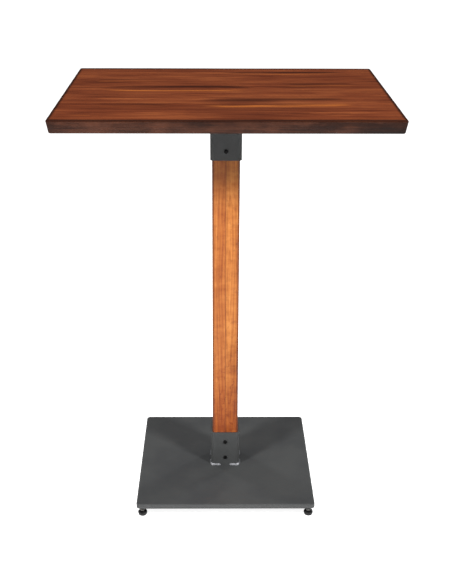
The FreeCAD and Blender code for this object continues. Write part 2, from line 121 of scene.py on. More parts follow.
# %% A helper that writes node trees
class Wiring:
    """Adds nodes to a tree. Each call fills a node's inputs and returns its first live output."""

    def __init__(self, tree):
        self.tree = tree

    def node(self, kind, inputs=None, **settings):
        made = self.tree.nodes.new(kind)
        for name, value in settings.items():
            setattr(made, name, value)
        for key, value in (inputs or {}).items():
            self.fill(made.inputs[key], value)
        return made

    def fill(self, socket, value):
        if isinstance(value, bpy.types.NodeSocket):
            self.tree.links.new(value, socket)
        else:
            socket.default_value = value

    def out(self, kind, inputs=None, **settings):
        made = self.node(kind, inputs, **settings)
        return next(socket for socket in made.outputs if socket.enabled)

    def math(self, operation, first, second=0.0):
        return self.out("ShaderNodeMath", {0: first, 1: second}, operation=operation)

    def plus(self, first, second):
        return self.math("ADD", first, second)

    def minus(self, first, second):
        return self.math("SUBTRACT", first, second)

    def times(self, first, second):
        return self.math("MULTIPLY", first, second)

    def over(self, first, second):
        return self.math("DIVIDE", first, second)

    def own_place(self):
        """The point being shaded, in the piece's own metres."""
        return self.node("ShaderNodeTexCoord").outputs["Object"]

    def spread(self, value, low, high, to_low=0.0, to_high=1.0, smooth=True):
        """Maps value from low..high to to_low..to_high, held at both ends."""
        return self.out(
            "ShaderNodeMapRange",
            {"Value": value, "From Min": low, "From Max": high, "To Min": to_low, "To Max": to_high},
            interpolation_type="SMOOTHSTEP" if smooth else "LINEAR",
        )

    def split(self, vector):
        made = self.node("ShaderNodeSeparateXYZ", {0: vector})
        return made.outputs[0], made.outputs[1], made.outputs[2]

    def join(self, x, y, z):
        return self.out("ShaderNodeCombineXYZ", {0: x, 1: y, 2: z})

    def stretched(self, parts, factors):
        """A vector of the three parts, each multiplied by its own factor."""
        return self.join(*(self.times(part, factor) for part, factor in zip(parts, factors)))

    def noise(self, vector, scale=1.0, detail=4.0, roughness=0.55):
        return self.out(
            "ShaderNodeTexNoise",
            {"Vector": vector, "Scale": scale, "Detail": detail, "Roughness": roughness},
        )

    def mix(self, share, first, second):
        """Mixes two colours."""
        made = self.node("ShaderNodeMix", {0: share, 6: first, 7: second}, data_type="RGBA")
        return made.outputs[2]

    def ramp(self, value, stops):
        """A colour ramp through (place, colour) stops."""
        made = self.node("ShaderNodeValToRGB", {0: value})
        band = made.color_ramp
        while len(band.elements) < len(stops):
            band.elements.new(0.5)
        for element, (place, colour) in zip(band.elements, stops):
            element.position = place
            element.color = colour
        return made.outputs[0]


def paint(red, green, blue):
    """A colour as a paint chart gives it, 0 to 255, turned into the linear light a shader needs."""
    def linear(value):
        share = value / 255.0
        return share / 12.92 if share <= 0.04045 else ((share + 0.055) / 1.055) ** 2.4

    return (linear(red), linear(green), linear(blue), 1.0)


def new_finish(name, **constants):
    """A material with one shader; constants set that shader's own sockets."""
    material = bpy.data.materials.new(name)
    material.use_nodes = True
    shader = material.node_tree.nodes["Principled BSDF"]
    for key, value in constants.items():
        shader.inputs[key.replace("_", " ")].default_value = value
    return material, shader, Wiring(material.node_tree)


def bumped(wiring, shader, height, distance):
    normal = wiring.out("ShaderNodeBump", {"Strength": 1.0, "Distance": distance, "Height": height})
    wiring.fill(shader.inputs["Normal"], normal)


print("helpers ready")

# %% [markdown]
# ## The stained top
#
# The boards of the top run left to right, so every streak is a noise pattern stretched a hundred
# times longer along X than across. Each board gets its own slice of the pattern, which is how a
# glued-up top really looks: the grain stops at a glue line and another board's grain begins. The
# stain is darkest on the arrises, where it was burnished, and on the sawn edges, which drink it.
# The sawn edges also get painted shade that deepens towards the right end.
# The scraped troughs carry an attribute of their own, made later by Geometry Nodes: their far walls
# get painted shade and their near walls a painted golden highlight. One patch of darker
# heartwood lies near the front, a little to the right of the middle.


# %% Stained and scraped wood
HEART_MIDDLE = (0.055, -0.21)
HEART_REACH = 0.17
BURNISH_STARTS, BURNISH_FULL = 21.0 * MM, 8.0 * MM
SAWN_STARTS, SAWN_FULL = 1.2 * MM, 3.5 * MM


def stained_top():
    material, shader, w = new_finish("stained_top", Specular_IOR_Level=0.16)
    x, y, z = w.split(w.own_place())
    stave_width = (top_high.y - top_low.y) / len(STAVES)
    board = w.math("FLOOR", w.over(w.minus(y, top_low.y), stave_width))
    own = w.node("ShaderNodeTexWhiteNoise", {"W": board}, noise_dimensions="1D")
    luck = own.outputs["Value"]
    slide = w.times(luck, 7.0)

    wander = w.noise(w.join(w.times(x, 2.2), w.times(y, 11.0), slide), 1.0, 2.0)
    bent_y = w.plus(y, w.times(w.minus(wander, 0.5), 0.012))
    long_x = w.plus(w.times(x, 2.6), slide)
    short_x = w.plus(w.times(x, 9.0), slide)
    streak = w.noise(w.join(long_x, w.times(bent_y, 72.0), w.times(z, 30.0)), 1.0, 5.0, 0.62)
    fibre = w.noise(w.join(short_x, w.times(bent_y, 420.0), w.times(z, 200.0)), 1.0, 3.0, 0.6)
    broad = w.noise(w.join(w.plus(w.times(x, 3.4), luck), w.times(y, 7.0), 0.3), 1.0, 2.0)
    mottle = w.noise(w.join(short_x, w.times(bent_y, 120.0), slide), 1.0, 4.0, 0.6)
    tone = w.plus(w.times(streak, 0.30), w.times(fibre, 0.22))
    tone = w.plus(tone, w.times(mottle, 0.38))
    tone = w.plus(tone, w.times(broad, 0.20))
    tone = w.plus(tone, w.times(w.minus(luck, 0.5), 0.05))
    colour = w.ramp(
        tone,
        [
            (0.40, paint(62, 24, 13)),
            (0.49, paint(94, 42, 21)),
            (0.57, paint(115, 56, 30)),
            (0.69, paint(146, 80, 43)),
        ],
    )
    pore_x = w.plus(w.times(x, 38.0), slide)
    pore = w.noise(w.join(pore_x, w.times(y, 900.0), w.times(z, 300.0)), 1.0, 1.0)
    pores = w.spread(pore, 0.60, 0.72)
    colour = w.mix(w.times(pores, 0.45), colour, paint(58, 22, 12))

    heart_x = w.over(w.minus(x, HEART_MIDDLE[0]), HEART_REACH)
    heart_y = w.over(w.minus(y, HEART_MIDDLE[1]), HEART_REACH)
    from_heart = w.plus(w.times(heart_x, heart_x), w.times(heart_y, heart_y))
    colour = w.mix(w.spread(from_heart, 1.0, 0.0, 0.0, 0.34), colour, paint(66, 28, 17))

    wall = w.node("ShaderNodeAttribute", attribute_name="trough_wall").outputs["Fac"]
    # Painted shade on the far wall of each trough, and a painted golden highlight on its near wall.
    far_wall_shade = w.spread(wall, 0.05, 0.26, 0.0, 0.86)
    patchy = w.plus(wall, w.times(w.minus(mottle, 0.5), 0.45))
    near_wall_highlight = w.spread(patchy, -0.10, -0.38, 0.0, 0.90)
    colour = w.mix(far_wall_shade, colour, paint(40, 12, 5))
    colour = w.mix(near_wall_highlight, colour, paint(196, 112, 48))

    to_end = w.minus(top_high.x, w.math("ABSOLUTE", x))
    to_side = w.minus(top_high.y, w.math("ABSOLUTE", y))
    to_edge = w.math("MINIMUM", w.times(to_end, 2.0), to_side)
    ragged = w.plus(to_edge, w.times(w.minus(streak, 0.5), 0.006))
    burnish = w.spread(ragged, BURNISH_STARTS, BURNISH_FULL)
    colour = w.mix(w.times(burnish, 0.88), colour, paint(30, 14, 9))
    sawn = w.spread(w.minus(top_high.z, z), SAWN_STARTS, SAWN_FULL)
    # Painted shade: the sawn edges darken towards the right end of the top.
    edge_tone = w.ramp(
        w.minus(tone, w.times(x, 0.12)),
        [
            (0.42, paint(20, 10, 7)),
            (0.54, paint(44, 23, 15)),
            (0.66, paint(80, 46, 32)),
        ],
    )
    colour = w.mix(sawn, colour, edge_tone)
    w.fill(shader.inputs["Base Color"], colour)
    w.fill(shader.inputs["Roughness"], w.spread(fibre, 0.25, 0.75, 0.30, 0.46))
    height = w.plus(w.times(streak, 0.5), w.times(fibre, 0.5))
    height = w.minus(height, w.times(pores, 0.4))
    bumped(w, shader, height, 0.00035)
    return material


stained_wood = stained_top()
print("made", stained_wood.name)

# %% [markdown]
# ## The scraped boards
#
# A board starts as a plain closed blank: a fine grid on top, rings of points round its edge that
# follow the eased arris and the undercut side, and the same grid below. A box with a bevel would
# give the edge, but not the fine grid that scraping needs. Glued sides stay straight; only the
# outside of the whole top is rounded.


# %% Board blanks
ALONG_BOARD = 120
ACROSS_BOARD = 44
UNDERCUT = 5.0 * MM
ARRIS = 2.0 * MM
LOWER_ARRIS = 3.0 * MM
PLAN_RADIUS = 6.0 * MM
GLUE_LINE_EASE = 0.15 * MM
EDGE_STEPS = 4


def edge_profile():
    """(inset, height) pairs from the top face, round the arris, down the undercut, to the underside."""
    thickness = top_high.z - top_low.z
    points = []
    for step in range(EDGE_STEPS + 1):
        angle = step / EDGE_STEPS * math.pi / 2
        drop = ARRIS * (1 - math.cos(angle))
        points.append((ARRIS * (1 - math.sin(angle)) + UNDERCUT * drop / thickness, top_high.z - drop))
    for step in range(EDGE_STEPS + 1):
        angle = step / EDGE_STEPS * math.pi / 2
        rise = LOWER_ARRIS * (1 - math.sin(angle))
        inset = LOWER_ARRIS * (1 - math.cos(angle)) + UNDERCUT * (1 - rise / thickness)
        points.append((inset, top_low.z + rise))
    return points


def rounded_corner(x, y, half_x, half_y, radius):
    """Moves a point of a rectangle so that the rectangle's corners become round."""
    over_x = (abs(x) - (half_x - radius)) / radius
    over_y = (abs(y) - (half_y - radius)) / radius
    if over_x <= 0 or over_y <= 0:
        return x, y
    new_x = half_x - radius + radius * over_x * math.sqrt(1 - over_y * over_y / 2)
    new_y = half_y - radius + radius * over_y * math.sqrt(1 - over_x * over_x / 2)
    return math.copysign(new_x, x), math.copysign(new_y, y)


def ticks(low, high, count, crowd):
    """count + 1 places from low to high, drawn towards both ends where crowd is above zero."""
    places = []
    for i in range(count + 1):
        share = i / count
        share -= crowd * math.sin(WHOLE_TURN * share) / WHOLE_TURN
        places.append(low + (high - low) * share)
    return places


def board_blank(number):
    """One closed board of the top, counted from the front."""
    low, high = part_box(f"top_stave_{number}")
    front, rear = number == 1, number == len(STAVES)
    half_x, half_y = top_high.x, top_high.y
    levels = edge_profile()
    columns = ticks(-1.0, 1.0, ALONG_BOARD, 0.75)
    rows = ticks(0.0, 1.0, ACROSS_BOARD, 0.55 if front or rear else 0.0)

    def spot(column, row, inset, height, top_face):
        ease = GLUE_LINE_EASE if top_face else 0.0
        y_low = low.y + (inset if front else ease)
        y_high = high.y - (inset if rear else ease)
        x = columns[column] * (half_x - inset)
        y = y_low + (y_high - y_low) * rows[row]
        radius = max(PLAN_RADIUS - inset * 0.5, 2.0 * MM)
        x, y = rounded_corner(x, y, half_x - inset, half_y - inset, radius)
        return Vector((x, y, height))

    mesh = bmesh.new()
    border = [(i, 0) for i in range(ALONG_BOARD)]
    border += [(ALONG_BOARD, j) for j in range(ACROSS_BOARD)]
    border += [(ALONG_BOARD - i, ACROSS_BOARD) for i in range(ALONG_BOARD)]
    border += [(0, ACROSS_BOARD - j) for j in range(ACROSS_BOARD)]
    faces = {}
    for side, (inset, height) in (("top", levels[0]), ("bottom", levels[-1])):
        faces[side] = {
            (i, j): mesh.verts.new(spot(i, j, inset, height, side == "top"))
            for i in range(ALONG_BOARD + 1)
            for j in range(ACROSS_BOARD + 1)
        }
    for i in range(ALONG_BOARD):
        for j in range(ACROSS_BOARD):
            ring = [(i, j), (i + 1, j), (i + 1, j + 1), (i, j + 1)]
            mesh.faces.new([faces["top"][c] for c in ring])
            mesh.faces.new([faces["bottom"][c] for c in reversed(ring)])
    above = [faces["top"][c] for c in border]
    for inset, height in levels[1:]:
        last = (inset, height) == levels[-1]
        below = [
            faces["bottom"][c] if last else mesh.verts.new(spot(*c, inset, height, False))
            for c in border
        ]
        for k in range(len(border)):
            following = (k + 1) % len(border)
            mesh.faces.new([above[following], above[k], below[k], below[following]])
        above = below
    data = bpy.data.meshes.new(f"blank_{number}")
    mesh.to_mesh(data)
    mesh.free()
    blank = bpy.data.objects.new(f"blank_{number}", data)
    bpy.context.scene.collection.objects.link(blank)
    return blank


blanks = [board_blank(number) for number in range(1, len(STAVES) + 1)]
print("blanks:", len(blanks), "faces each:", len(blanks[0].data.polygons))

# %% [markdown]
# ## Scraping them with Geometry Nodes
#
# Scraping follows a rule: everywhere the face dips a little in long shallow ripples, and here and
# there one long trough goes deeper. A node tree can hold that rule, and because it reads the place
# of each point in the whole top, a trough runs on over a glue line as a scraper would. The tree
# also stores how far up which wall of a trough a point is, for painted shade and highlight.


# %% A way to run a node tree once and keep its mesh
def new_tree(name, *sockets):
    """A geometry node tree with named inputs: (name, kind, default)."""
    tree = bpy.data.node_groups.new(name, "GeometryNodeTree")
    tree.interface.new_socket("Geometry", in_out="INPUT", socket_type="NodeSocketGeometry")
    tree.interface.new_socket("Geometry", in_out="OUTPUT", socket_type="NodeSocketGeometry")
    for label, kind, default in sockets:
        socket = tree.interface.new_socket(label, in_out="INPUT", socket_type=kind)
        if default is not None:
            socket.default_value = default
    w = Wiring(tree)
    start = w.node("NodeGroupInput")
    end = w.node("NodeGroupOutput")
    return tree, w, start, end


def close_tree(w, end, geometry, finish):
    """Realizes instances, gives the finish and joins the result to the tree's output."""
    real = w.out("GeometryNodeRealizeInstances", {0: geometry})
    w.fill(end.inputs[0], w.out("GeometryNodeSetMaterial", {"Geometry": real, "Material": finish}))


def run_tree(source, tree, values, name, crease=35.0):
    """Runs the tree on the source object, keeps the result as a plain piece and drops the source."""
    modifier = source.modifiers.new(tree.name, "NODES")
    modifier.node_group = tree
    for item in tree.interface.items_tree:
        if item.in_out == "INPUT" and item.name in values:
            modifier[item.identifier] = values[item.name]
    bpy.context.view_layer.update()
    graph = bpy.context.evaluated_depsgraph_get()
    mesh = bpy.data.meshes.new_from_object(
        source.evaluated_get(graph), preserve_all_data_layers=True, depsgraph=graph
    )
    bpy.data.objects.remove(source)
    return keep_piece(name, mesh, crease)


def keep_piece(name, mesh, crease=35.0):
    """Puts a finished mesh in the scene, smooth but for edges sharper than crease degrees."""
    mesh.name = name
    mesh.shade_smooth()
    mesh.set_sharp_from_angle(angle=math.radians(crease))
    piece = bpy.data.objects.new(name, mesh)
    bpy.context.scene.collection.objects.link(piece)
    return piece


def settle(piece, body, slot, *nodes):
    """Hangs a piece on the body it rides on and hides the nodes it stands for. The slot is not used."""
    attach(piece, body)
    if nodes:
        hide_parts(*nodes)


# %% The scraping tree
# Each trough: middle x, half length, middle y, half width and depth.
TROUGHS = (
    (0.150, 0.185, 0.234, 0.011, 0.9 * MM),
    (-0.116, 0.215, 0.037, 0.021, 1.3 * MM),
    (0.110, 0.215, -0.122, 0.032, 1.5 * MM),
    (0.160, 0.035, -0.240, 0.012, 0.4 * MM),
    (0.240, 0.040, -0.244, 0.012, 0.4 * MM),
    (-0.318, 0.040, -0.243, 0.012, 0.4 * MM),
    (-0.240, 0.110, 0.140, 0.014, 0.5 * MM),
    (0.225, 0.120, 0.085, 0.016, 0.5 * MM),
    (-0.210, 0.120, -0.150, 0.016, 0.4 * MM),
)

scraping, w, start, end = new_tree(
    "scraping",
    ("Ripple depth", "NodeSocketFloat", 0.5 * MM),
    ("Ripples per metre along", "NodeSocketFloat", 3.2),
    ("Ripples per metre across", "NodeSocketFloat", 28.0),
    ("Seed", "NodeSocketFloat", 4.0),
    ("Finish", "NodeSocketMaterial", None),
)
place = w.out("GeometryNodeInputPosition")
x, y, z = w.split(place)
on_top = w.spread(z, top_high.z - ARRIS, top_high.z)
wave = w.noise(
    w.join(
        w.times(x, start.outputs["Ripples per metre along"]),
        w.times(y, start.outputs["Ripples per metre across"]),
        start.outputs["Seed"],
    ),
    1.0, 2.0, 0.5,
)
dip = w.times(w.spread(wave, 0.35, 0.70), start.outputs["Ripple depth"])
wall = None
for middle_x, half_length, middle_y, half_width, depth in TROUGHS:
    along = w.over(w.minus(x, middle_x), half_length)
    bow = w.times(w.math("SINE", w.times(along, 2.3)), half_width * 0.12)
    offset = w.over(w.minus(y, w.plus(bow, middle_y)), half_width)
    across = w.math("EXPONENT", w.times(w.times(offset, offset), -1.0))
    fade = w.spread(w.math("ABSOLUTE", along), 1.05, 0.45)
    bowl = w.times(across, fade)
    dip = w.plus(dip, w.times(bowl, depth))
    steep = w.times(w.times(bowl, offset), min(1.0, depth / (1.0 * MM)))
    wall = steep if wall is None else w.plus(wall, steep)
lowered = w.out(
    "GeometryNodeSetPosition",
    {
        "Geometry": start.outputs["Geometry"],
        "Offset": w.join(0.0, 0.0, w.times(w.times(dip, on_top), -1.0)),
    },
)
marked = w.out(
    "GeometryNodeStoreNamedAttribute",
    {"Geometry": lowered, "Name": "trough_wall", "Value": w.times(wall, on_top)},
    data_type="FLOAT", domain="POINT",
)
close_tree(w, end, marked, start.outputs["Finish"])
print("troughs:", len(TROUGHS), "nodes in the tree:", len(scraping.nodes))

# %% Scrape every board
for number, blank in enumerate(blanks, start=1):
    board = run_tree(blank, scraping, {"Finish": stained_wood}, f"scraped_board_{number}", 40.0)
    settle(board, "table", "top_wood", f"top_stave_{number}")
print("boards scraped:", len(blanks), "triangles each about", 2 * len(board.data.polygons))

# %% [markdown]
# ## The post's wood
#
# The post is two boards glued face to face, so a fine dark line runs down the middle of its front
# and back. The left board is a little redder than the right, and both redden towards the foot.
# Seen close, flat-sawn wood shows rings as tall arches: that is what comes of cutting cones of
# growth with a flat saw. Here the rings are circles round an axis that leans slowly away from the
# post, so the same arches appear.


# %% Oiled post wood
def oiled_post():
    material, shader, w = new_finish("oiled_post", Specular_IOR_Level=0.35)
    x, y, z = w.split(w.own_place())
    right = w.math("GREATER_THAN", x, 0.0)
    shifted_z = w.plus(z, w.times(right, 3.7))
    along = (x, y, shifted_z)
    wander = w.noise(w.stretched(along, (9.0, 9.0, 2.4)), 1.0, 3.0)
    lean = w.times(w.minus(z, 0.50), 0.055)
    axis_x = w.minus(w.minus(x, 0.004), w.times(right, 0.006))
    axis_y = w.plus(w.plus(y, 0.030), lean)
    squares = w.plus(w.times(axis_x, axis_x), w.times(axis_y, axis_y))
    distance = w.math("SQRT", squares)
    distance = w.plus(distance, w.times(wander, 0.016))
    ring = w.math("FRACT", w.times(distance, 150.0))
    late_wood = w.spread(ring, 0.45, 0.98)
    fibre = w.noise(w.stretched(along, (330.0, 330.0, 6.0)), 1.0, 4.0, 0.6)
    broad = w.noise(w.stretched(along, (26.0, 26.0, 1.6)), 1.0, 2.0)
    figure = w.noise(w.stretched(along, (22.0, 22.0, 55.0)), 1.0, 4.0, 0.65)
    tone = w.plus(w.times(fibre, 0.36), w.times(broad, 0.34))
    tone = w.plus(tone, w.times(w.minus(figure, 0.15), 0.30))
    tone = w.minus(tone, w.times(late_wood, 0.06))
    tone = w.minus(tone, w.spread(z, 0.42, 0.14, 0.0, 0.09))
    colour = w.ramp(
        tone,
        [
            (0.26, paint(108, 50, 17)),
            (0.38, paint(160, 89, 36)),
            (0.50, paint(189, 117, 54)),
            (0.62, paint(208, 142, 76)),
        ],
    )
    fleck = w.noise(w.stretched((x, y, z), (120.0, 120.0, 70.0)), 1.0, 3.0)
    fleck_share = w.plus(w.times(w.spread(z, 0.42, 0.20), 0.45), 0.30)
    flecks = w.times(w.spread(fleck, 0.54, 0.68), fleck_share)
    colour = w.mix(flecks, colour, paint(104, 48, 22))
    colour = w.mix(w.minus(0.16, w.times(right, 0.16)), colour, paint(160, 74, 40))
    colour = w.mix(w.spread(z, 0.40, 0.13, 0.0, 0.32), colour, paint(166, 74, 22))

    from_line = w.math("ABSOLUTE", x)
    on_face = w.math("GREATER_THAN", w.math("ABSOLUTE", y), half_post - 0.001)
    glue = w.times(w.spread(from_line, 0.0016, 0.0005), on_face)
    colour = w.mix(w.times(glue, 0.60), colour, paint(92, 44, 24))
    # Painted shade: the post's rounded corners are darkened where they turn away from the light.
    corner = w.plus(w.math("ABSOLUTE", x), w.math("ABSOLUTE", y))
    corner_shade = w.spread(corner, 2 * half_post - 0.0065, 2 * half_post - 0.0030)
    colour = w.mix(w.times(corner_shade, 0.72), colour, paint(88, 40, 20))
    w.fill(shader.inputs["Base Color"], colour)
    w.fill(shader.inputs["Roughness"], w.spread(fibre, 0.3, 0.7, 0.38, 0.55))
    height = w.minus(fibre, w.times(late_wood, 0.5))
    bumped(w, shader, height, 0.00018)
    return material


post_wood = oiled_post()
print("made", post_wood.name)

# %% [markdown]
# ## Powder coat
#
# Powder coat is plastic baked onto steel. It flows a little before it sets, so it keeps a faint
# orange-peel surface. Three noises do it: a fine one for the peel, a finer one for light specks,
# and a broad faint one for how evenly the powder fell. A painted highlight lightens the rim of the
# base plate, found from the distance to its edge. The sockets get a lighter copy of the same paint,
# as painted light.


# %% Charcoal powder coat
RIM_WIDTH, RIM_FULL = 4.5 * MM, 1.0 * MM


def powder_coat(name, thin, thick):
    material, shader, w = new_finish(name, Specular_IOR_Level=0.35)
    place = w.own_place()
    peel = w.noise(place, 900.0, 2.0, 0.6)
    drift = w.noise(place, 9.0, 3.0)
    speck = w.noise(place, 2600.0, 1.0)
    colour = w.mix(w.spread(drift, 0.3, 0.7), thin, thick)
    colour = w.mix(w.times(w.spread(speck, 0.62, 0.75), 0.35), colour, paint(92, 93, 93))
    x, y = w.split(place)[:2]
    reach = w.math("MAXIMUM", w.math("ABSOLUTE", x), w.math("ABSOLUTE", y))
    # Painted highlight: the base plate's rim is lightened close to its edge.
    rim_highlight = w.spread(reach, base_high.x - RIM_WIDTH, base_high.x - RIM_FULL)
    colour = w.mix(w.times(rim_highlight, 0.22), colour, paint(104, 105, 105))
    w.fill(shader.inputs["Base Color"], colour)
    w.fill(shader.inputs["Roughness"], w.spread(drift, 0.25, 0.75, 0.42, 0.52))
    bumped(w, shader, peel, 0.00006)
    return material


plate_coat = powder_coat("plate_coat", paint(58, 59, 60), paint(66, 67, 67))
# The sockets get a lighter copy of the plate's charcoal paint: painted light on their upright faces.
lit_socket_coat = powder_coat("lit_socket_coat", paint(68, 69, 69), paint(75, 76, 76))

# %% Dress the nodes whose shape is right
def dress(node, material):
    """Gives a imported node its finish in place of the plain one."""
    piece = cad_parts[node]
    piece.data.materials.clear()
    piece.data.materials.append(material)


for node in ("base_plate", "top_mounting_plate"):
    dress(node, plate_coat)
for node in ("upper_socket", "lower_socket"):
    dress(node, lit_socket_coat)
for node in ("post_left", "post_right"):
    dress(node, post_wood)
print("dressed six nodes")

# %% [markdown]
# ## Weld beads
#
# A weld is laid as a row of overlapping puddles, and each puddle freezes as a ripple. Each bead
# here follows the tube's outline round one corner. Geometry Nodes sweep a round section along that
# line and let its size rise and fall once per ripple, with a little chance added.


# %% Bare weld metal
def weld_metal():
    material, shader, w = new_finish("weld_metal", Metallic=0.35)
    place = w.own_place()
    stain = w.noise(place, 240.0, 3.0)
    fine = w.noise(place, 1500.0, 2.0)
    dull, clean, bright = paint(120, 121, 124), paint(178, 179, 184), paint(214, 214, 218)
    colour = w.ramp(stain, [(0.36, dull), (0.50, clean), (0.64, bright)])
    # Painted shade: the bead lengths along the tube's left and right walls are darkened.
    beside_shade = w.spread(w.math("ABSOLUTE", w.split(place)[0]), half_tube - 0.001, half_tube + 0.0015)
    colour = w.mix(w.times(beside_shade, 0.80), colour, paint(62, 62, 64))
    w.fill(shader.inputs["Base Color"], colour)
    w.fill(shader.inputs["Roughness"], w.spread(stain, 0.3, 0.7, 0.28, 0.50))
    bumped(w, shader, fine, 0.00008)
    return material


bare_weld = weld_metal()

# %% Weld routes and the bead tree
WELD_REACH = 26.0 * MM
TUBE_CORNER = 8.5 * MM
BEAD_RADIUS = 3.6 * MM
RIPPLE = 1.9 * MM


def weld_routes(name, height, upside_down):
    """Four open lines, each wrapped round one corner of the square tube."""
    curve = bpy.data.curves.new(name, "CURVE")
    curve.dimensions = "3D"
    start = half_tube - WELD_REACH
    bend = half_tube - TUBE_CORNER
    lift = -0.8 * MM if upside_down else 0.8 * MM
    out = 0.6 * MM
    corner = [(start, half_tube + out)]
    for step in range(9):
        angle = math.pi / 2 * (1 - step / 8)
        reach = TUBE_CORNER + out
        corner.append((bend + reach * math.cos(angle), bend + reach * math.sin(angle)))
    corner.append((half_tube + out, start))
    for turn in range(4):
        quarter = Matrix.Rotation(turn * math.pi / 2, 3, "Z")
        line = curve.splines.new("POLY")
        line.points.add(len(corner) - 1)
        for point, (x, y) in zip(line.points, corner):
            point.co = (*(quarter @ Vector((x, y, height + lift))), 1.0)
    route = bpy.data.objects.new(name, curve)
    bpy.context.scene.collection.objects.link(route)
    return route


beading, w, start, end = new_tree(
    "weld_bead",
    ("Bead radius", "NodeSocketFloat", BEAD_RADIUS),
    ("Ripple length", "NodeSocketFloat", RIPPLE),
    ("Ripple depth", "NodeSocketFloat", 0.16),
    ("Seed", "NodeSocketFloat", 2.0),
    ("Finish", "NodeSocketMaterial", None),
)
line = w.out(
    "GeometryNodeResampleCurve", {"Curve": start.outputs["Geometry"], "Length": 0.3 * MM}, mode="LENGTH"
)
travelled = w.node("GeometryNodeSplineParameter").outputs["Length"]
beat = w.math("FRACT", w.over(travelled, start.outputs["Ripple length"]))
crest = w.minus(1.0, w.times(w.math("POWER", beat, 2.0), start.outputs["Ripple depth"]))
place = w.out("GeometryNodeInputPosition")
SHIFT_OF_PATTERN = (0.0, 0.0, 13.0 * MM)
moved = w.out("ShaderNodeVectorMath", {0: place, 1: SHIFT_OF_PATTERN}, operation="ADD")
chance = w.noise(moved, 260.0, 2.0)
size = w.times(crest, w.spread(chance, 0.25, 0.75, 0.86, 1.12))
share = w.node("GeometryNodeSplineParameter").outputs["Factor"]
taper_in = w.spread(share, -0.02, 0.07, 0.45, 1.0)
taper_out = w.spread(share, 1.02, 0.93, 0.45, 1.0)
taper = w.math("MINIMUM", taper_in, taper_out)
size = w.times(size, taper)
section = w.out(
    "GeometryNodeCurvePrimitiveCircle", {"Resolution": 14, "Radius": start.outputs["Bead radius"]}
)
swept = w.out(
    "GeometryNodeCurveToMesh",
    {"Curve": line, "Profile Curve": section, "Scale": size, "Fill Caps": True},
)
close_tree(w, end, swept, start.outputs["Finish"])

# %% Lay the beads
for level, height, upside_down in (("lower", base_high.z, False), ("upper", upper_high.z, True)):
    route = weld_routes(f"{level}_route", height, upside_down)
    beads = run_tree(route, beading, {"Finish": bare_weld}, f"{level}_weld_beads", 60.0)
    settle(beads, "table", "weld_metal", f"{level}_socket_welds")
    print(beads.name, "faces", len(beads.data.polygons))

# %% [markdown]
# ## Turned and hexagonal pieces
#
# Screws, pads and stems are all stacks of rings: round where a lathe cut them, six-sided or square
# where a key or a spanner goes. One function can make them all, if every ring has the same number
# of points and only the shape of the ring changes. The stack is closed at both ends.


# %% Stacks of rings
RING_POINTS = 48


def ring_point(shape, size, angle):
    """A point of a ring. size is the radius of a round ring, or half the width across flats."""
    if shape == "round":
        reach = size
    else:
        sides = {"hexagon": 6, "square": 4}[shape]
        sector = WHOLE_TURN / sides
        reach = size / math.cos((angle % sector) - sector / 2)
    return reach * math.cos(angle), reach * math.sin(angle)


def stacked(name, rings, points=RING_POINTS):
    """A closed mesh through rings, each (shape, size, height), built upwards along +Z."""
    mesh = bmesh.new()
    loops = []
    for shape, size, height in rings:
        loops.append(
            [
                mesh.verts.new((*ring_point(shape, size, WHOLE_TURN * k / points), height))
                for k in range(points)
            ]
        )
    for lower, upper in zip(loops, loops[1:]):
        for k in range(points):
            after = (k + 1) % points
            mesh.faces.new([lower[k], lower[after], upper[after], upper[k]])
    for loop, height in ((loops[0], rings[0][2]), (loops[-1], rings[-1][2])):
        middle = mesh.verts.new((0.0, 0.0, height))
        for k in range(points):
            ends = [loop[k], loop[(k + 1) % points]]
            if loop is loops[0]:
                ends.reverse()
            mesh.faces.new([*ends, middle])
    data = bpy.data.meshes.new(name)
    mesh.to_mesh(data)
    mesh.free()
    return data


def dome(radius, height, base, steps=6):
    """Rings of a rounded button head."""
    rings = []
    for step in range(steps + 1):
        angle = math.pi / 2 * step / steps
        reach = radius * (0.62 + 0.38 * math.cos(angle))
        rings.append(("round", reach, base + height * math.sin(angle)))
    return rings


# %% [markdown]
# ## Screws
#
# Eight dome-headed screws pin the post in its sockets, and eight wood screws hold the top to its
# plate. Each kind is modelled once with its key recess and then instanced on points. Real screws
# stop turning wherever they bite, so every instance gets its own turn from a seeded random value.


# %% Screw finishes
def black_oxide():
    material, shader, w = new_finish("black_oxide", Metallic=0.6)
    place = w.own_place()
    wear = w.noise(place, 700.0, 3.0)
    colour = w.ramp(wear, [(0.40, paint(16, 16, 17)), (0.70, paint(40, 39, 38))])
    w.fill(shader.inputs["Base Color"], colour)
    w.fill(shader.inputs["Roughness"], w.spread(wear, 0.3, 0.7, 0.34, 0.55))
    bumped(w, shader, wear, 0.00004)
    return material


def bright_zinc(name, tint):
    material, shader, w = new_finish(name, Metallic=1.0)
    place = w.own_place()
    lathe = w.noise(w.stretched(w.split(place), (60.0, 60.0, 2500.0)), 1.0, 2.0)
    cloud = w.noise(place, 160.0, 3.0)
    colour = w.mix(w.spread(cloud, 0.35, 0.70), tint, paint(150, 148, 142))
    w.fill(shader.inputs["Base Color"], colour)
    w.fill(shader.inputs["Roughness"], w.spread(cloud, 0.3, 0.7, 0.26, 0.44))
    bumped(w, shader, lathe, 0.00003)
    return material


black_steel = black_oxide()
zinc = bright_zinc("zinc_screws", paint(204, 198, 176))
foot_steel = bright_zinc("zinc_stems", paint(96, 97, 99))

# %% One screw of each kind
SOCKET_HEAD = 5.25 * MM
SOCKET_SHANK = 3.0 * MM
WOOD_HEAD = 5.25 * MM
WOOD_SHANK = 2.4 * MM
screw_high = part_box("lower_socket_screws_front")[1]
SOCKET_SCREW_REACH = screw_high.y + half_tube
wood_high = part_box("top_screws_corners")[1]
WOOD_SCREW_REACH = wood_high.z - upper_high.z


